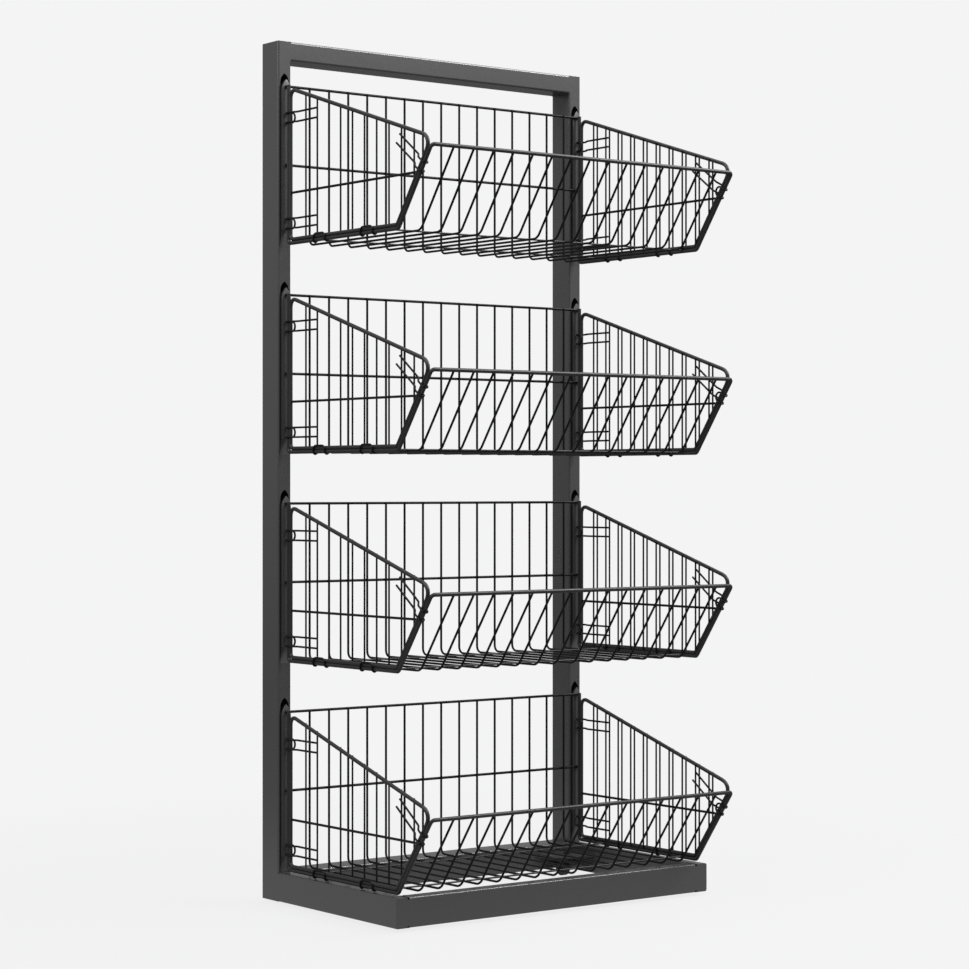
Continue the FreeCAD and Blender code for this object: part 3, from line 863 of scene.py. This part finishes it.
def model_tab(middle, height):
    """A hook tab: a neck through the post's wall, with a lip that hangs behind it."""
    low = place(middle - tab_thickness / 2, hanger_gap, height)
    high = place(middle + tab_thickness / 2, -tab_reach - tab_lip_thickness, height + tab_neck)
    tab = add_block("tab", low, high)
    edit()
    bpy.ops.mesh.bisect(plane_co=place(middle, -tab_reach, height), plane_no=(0, 1, 0))
    pick(tab, "FACE", lambda face: is_end(face, 2, (-1,))
         and face.calc_center_median().y > post_face + tab_reach)
    bpy.ops.mesh.extrude_region_move(TRANSFORM_OT_translate={"value": (0, 0, -tab_lip)})
    leave_edit()
    return tab


# %% Hanger bars
def model_hanger(name, side):
    middle = side * side_plane
    half = hanger_width / 2
    low = place(middle - half, hanger_face, -hanger_foot)
    spring = back_height - hanger_head_drop
    bar = add_block(name, low, place(middle + half, hanger_gap, spring))
    edit()
    raise_head(bar, middle, half, spring, back_height + hanger_head)
    bpy.ops.mesh.select_all(action="SELECT")
    bpy.ops.mesh.bisect(
        plane_co=place(middle, hanger_gap, -hanger_foot),
        plane_no=(0, -hanger_foot_slope, -(hanger_face - hanger_gap)),
        use_fill=True, clear_outer=True)
    pick(bar, "EDGE", lambda edge: all(abs(v.co.y - low.y) < same_place for v in edge.verts)
         and any(abs(face.normal.y) < front_facing for face in edge.link_faces))
    bpy.ops.mesh.bevel(offset=hanger_edge, segments=hanger_edge_steps, affect="EDGES")
    leave_edit()
    bar = join([model_tab(middle, height) for height in tab_heights] + [bar], name)
    edit()
    bpy.ops.mesh.select_all(action="SELECT")
    bpy.ops.mesh.normals_make_consistent(inside=False)
    leave_edit()
    smooth(bar, hanger_crease)
    return bar


basket["hangers"] = join([model_hanger("hanger_left", -1), model_hanger("hanger_right", 1)], "hangers")
print("hanger faces:", len(basket["hangers"].data.polygons))

# %% [markdown]
# ## Slots in the posts
#
# The hook tabs need a slot each in the post's front wall. The upper slot opens in a pointed head that
# shows as a dark arch above the hanger. Each cutter is modelled once, arrayed up the tiers and
# subtracted from the tube with a boolean.

# %% Slots in the posts
slot_play = 0.5 * mm
slot_top_clearance = 2.0 * mm
slot_height = tab_neck + tab_lip + slot_top_clearance
slot_head = 29.0 * mm
slot_head_width = 21.0 * mm
slot_head_spring = 10.0 * mm
slot_head_drop = 20.0 * mm
tier_step = (0, 0, edge_heights[2] - edge_heights[1])


def slot_cutter(middle, half, low, high):
    """A block through the post's front wall, between two heights."""
    return add_block("cutter", place(middle - half, tab_gap, low), place(middle + half, -tab_reach, high))


for side, node in ((-1, "left_post"), (1, "right_post")):
    middle = side * side_plane
    cutters = []
    for height in tab_heights:
        low = height - tab_gap
        cutters.append(slot_cutter(middle, tab_thickness / 2 + slot_play, low, low + slot_height))
    half = slot_head_width / 2
    head = slot_cutter(middle, half, back_height - slot_head_drop, back_height + slot_head_spring)
    focus(head)
    edit()
    raise_head(head, middle, half, back_height + slot_head_spring, back_height + slot_head)
    bpy.ops.mesh.select_all(action="SELECT")
    bpy.ops.mesh.normals_make_consistent(inside=False)
    leave_edit()
    for cutter in cutters + [head]:
        repeat(cutter, len(tiers), tier_step)
        cut_away(tubes[node], cutter)
    print(node, "faces after the cuts:", len(tubes[node].data.polygons))

# %% Finish the tubes
for node, tube in tubes.items():
    weigh_normals(tube)
    finish(tube, frame_coat, "frame_coat", "frame", node)
print("tubes finished:", len(tubes))

# %% [markdown]
# ## Side panels
#
# Each side is a closed loop of rod with thin uprights welded across it and one long wire along it.
# The left panel has single uprights, two pairs of which are one wire that hooks under the edge rod.
# The right panel has uprights on both faces of the loop, so it looks twice as dense.

# %% Side panel sizes
side_back_height = 322.6 * mm
side_slope_angle = math.radians(17.0)
side_slope = math.tan(side_slope_angle)
side_bends = (8.0 * mm, 22.0 * mm, 15.0 * mm, 10.0 * mm)
upright_count = 10
upright_first = 73.8 * mm
upright_step = 43.08 * mm
upright_overlap = 2.0 * mm
hook_spacing = 4
hook_radius = edge_rod / 2 + weld_gap + upright_wire / 2
bight_height = 12.5 * mm
bight_bend = 10.0 * mm
long_wire_height = 105.0 * mm


def panel_point(side, depth, outward, height):
    return place(side * (side_plane + outward), depth, height)


def slope_height(depth):
    """Height of the panel's sloping top rod."""
    return side_back_height - (depth - loop_depth) * side_slope


def upright_foot(depth):
    """Height where an upright starts, on the loop's floor rod or its leaning front."""
    return max(rod_pitch, lean_height(depth, rod_pitch)) - upright_overlap


print("panel height at the first upright, in metres:", round(slope_height(upright_first), 4))


# %% Panel loop
def model_loop(side):
    top_front = slope_height(lean_depth(0, rod_pitch)) / (1 + side_slope * lean.x / lean.y)
    points = [
        panel_point(side, lean_depth(rod_pitch, rod_pitch), 0, rod_pitch),
        panel_point(side, lean_depth(top_front, rod_pitch), 0, top_front),
        panel_point(side, loop_depth, 0, side_back_height),
        panel_point(side, loop_depth, 0, rod_pitch),
    ]
    loop = begin_wires("loop")
    draw_wire(points)
    close_wire(loop, points[0], points[-1])
    bend_corners(loop, points, side_bends)
    give_section(loop, loop_rod)
    return loop


# %% Uprights
def plain_upright(side, depth, outward):
    low = panel_point(side, depth, outward, upright_foot(depth))
    return [low, panel_point(side, depth, outward, slope_height(depth) + upright_overlap)], (0, 0)


def hooked_pair(side, depth_a, depth_b):
    """Two uprights of one wire that hooks under the edge rod and rises outside it in a low bight."""
    hook = hook_radius
    points = [
        panel_point(side, depth_a, -hook, slope_height(depth_a) + upright_overlap),
        panel_point(side, depth_a, -hook, -hook),
        panel_point(side, depth_a, hook, -hook),
        panel_point(side, depth_a, hook, bight_height),
        panel_point(side, depth_b, hook, bight_height),
        panel_point(side, depth_b, hook, -hook),
        panel_point(side, depth_b, -hook, -hook),
        panel_point(side, depth_b, -hook, slope_height(depth_b) + upright_overlap),
    ]
    return points, (0, hook, hook, bight_bend, bight_bend, hook, hook, 0)


def doubled_upright(side, depth):
    """One wire down the inside of the panel, under the edge rod and up the outside."""
    hook = hook_radius
    top = slope_height(depth) + upright_overlap
    ends = [(-hook, top), (-hook, -hook), (hook, -hook), (hook, top)]
    points = [panel_point(side, depth, outward, height) for outward, height in ends]
    return points, (0, hook, hook, 0)


def panel_uprights(side, doubled):
    wires = []
    pair_starts = range(1, upright_count - 1, hook_spacing)
    for i in range(upright_count):
        depth = upright_first + i * upright_step
        if i in pair_starts and not doubled:
            wires.append(hooked_pair(side, depth, depth + upright_step))
        elif i in pair_starts or i - 1 in pair_starts:
            if doubled:
                wires.append(doubled_upright(side, depth))
        else:
            wires.append(plain_upright(side, depth, -hook_radius))
            if doubled:
                wires.append(plain_upright(side, depth, hook_radius))
    return wires


# %% Both side panels
def model_side(name, side, doubled):
    outward = -loop_rod / 2 + long_wire / 2
    back = loop_depth + loop_rod / 2 + weld_gap
    low_edge = lean_depth(long_wire_height - long_wire / 2, rod_pitch)
    front = low_edge - loop_rod / 2 / lean.y - weld_gap
    ends = [panel_point(side, depth, outward, long_wire_height) for depth in (back, front)]
    uprights = bent_wires("uprights", panel_uprights(side, doubled), upright_wire)
    along = straight_wires("along", [ends], long_wire)
    loop = model_loop(side)
    # Uprights and the long wire take the black wire coat, the loop the rod coat, both with painted shade.
    for wires, coat in ((uprights, wire_coat), (along, wire_coat), (loop, rod_coat_painted_shade)):
        wires.data.materials.append(coat)
    return join([uprights, along, loop], name)


basket["left_side"] = model_side("left_side", -1, False)
basket["right_side"] = model_side("right_side", 1, True)
print("side panel faces:", [len(basket[name].data.polygons) for name in ("left_side", "right_side")])

# %% [markdown]
# ## Side clips
#
# Bent clips hold each side panel: their legs lie on the uprights, step out, hook round the edge rod
# and meet in a bight inside the panel. Two are at the back corner and one is on the leaning front.

# %% Side clips
clip_spacing = 20.0 * mm
clip_bight = 15.5 * mm
clip_jog_near = 17.0 * mm
clip_jog_far = 29.0 * mm
clip_jog_bend = 8.0 * mm
clip_radius = edge_rod / 2 + 2 * weld_gap + clip_wire / 2
back_clip_length = 105.0 * mm
back_clip_heights = (272.0 * mm, 51.0 * mm)
front_clip_length = 107.5 * mm
front_clip_height = 151.5 * mm


def clip_path(corner, into_panel, along_edge, outward, length):
    """Points and bends of a clip, from the point where its first leg crosses the edge rod."""
    lie = -loop_rod / 2 + clip_wire / 2
    ring = clip_radius
    steps = [(length, lie), (clip_jog_far, lie), (clip_jog_near, ring), (-ring, ring), (-ring, -ring),
             (clip_bight, -ring)]
    legs = []
    for along in (0, clip_spacing):
        start = corner + along_edge * along
        legs.append([start + into_panel * inward + outward * out for inward, out in steps])
    bends = [0, clip_jog_bend, clip_jog_bend, ring, ring, clip_spacing / 2]
    return legs[0] + legs[1][::-1], bends + bends[::-1]


clips = []
for side in (-1, 1):
    outward = Vector((side, 0, 0))
    for height in back_clip_heights:
        corner = panel_point(side, edge_depth, 0, height)
        clips.append(clip_path(corner, Vector((0, -1, 0)), Vector((0, 0, -1)), outward, back_clip_length))
    depth = floor_depth + front_clip_height * lean.x
    corner = panel_point(side, depth, 0, front_clip_height * lean.y)
    into_panel = Vector((0, lean.y, lean.x))
    clips.append(clip_path(corner, into_panel, Vector((0, lean.x, -lean.y)), outward, front_clip_length))
basket["side_clips"] = bent_wires("side_clips", clips, clip_wire)
print("side clips:", len(clips))

# %% [markdown]
# ## Four baskets
#
# The finished basket is copied to each tier. Every copy gets its own mesh, moved up by the distance
# between the tiers, and rides on the basket body that lifts off the posts. The hangers' fronts take
# a lighter copy of the frame coat, a painted light, and their side walls take the dark coat of the
# wires, a painted shade.

# %% Copy the basket to its tiers
painted_shade_wall_facing = 0.5


def coat_faces(piece, material, test):
    """Give the faces that pass a test a second coat."""
    focus(piece)
    bpy.ops.object.material_slot_add()
    piece.material_slots[-1].material = material
    piece.active_material_index = len(piece.material_slots) - 1
    edit()
    pick(piece, "FACE", test)
    bpy.ops.object.material_slot_assign()
    leave_edit()


for tier in tiers:
    lift = edge_heights[tier] - edge_heights[1]
    for name, original in basket.items():
        focus(original)
        bpy.ops.object.duplicate(linked=False)
        copy = bpy.context.object
        copy.name = f"tier_{tier}_{name}"
        bpy.ops.transform.translate(value=(0, 0, lift))
        bpy.ops.object.transform_apply(location=True, rotation=False, scale=False)
        # Hangers take the lighter hanger coat, a painted light on their fronts; other pieces without a
        # coat take the black wire coat, with painted shade.
        coat, slot = (hanger_coat_painted_light, "frame_coat") if name == "hangers" else (wire_coat, "wire_coat")
        finish(copy, coat, slot, f"basket_{tier}", f"basket_{tier}_{name}")
        if name == "hangers":
            # The hangers' side walls get the black wire coat as a painted shade.
            coat_faces(copy, wire_coat, lambda face: abs(face.normal.y) < painted_shade_wall_facing)
focus(*basket.values())
bpy.ops.object.delete()
print("baskets:", len(tiers), "pieces each:", len(basket))

# %% [markdown]
# ## Finishes on the carried-over pieces
#
# The castors keep the frame's own shapes, and only take their finish here.

# %% Finish the frame's own pieces
node_finish = {
    "fork": black_zinc, "axle": black_zinc, "wheel": moulded_plastic, "tyre": tyre_rubber,
    "castor_stems": black_zinc, "castor_washers": black_zinc, "castor_nuts": black_zinc,
    "castor_plates": frame_coat,
}
finished_nodes = 0
for name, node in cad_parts.items():
    for key, material in node_finish.items():
        if name == key or name.endswith("_" + key):
            node.data.materials.clear()
            node.data.materials.append(material)
            finished_nodes += 1
print("castor pieces finished:", finished_nodes)
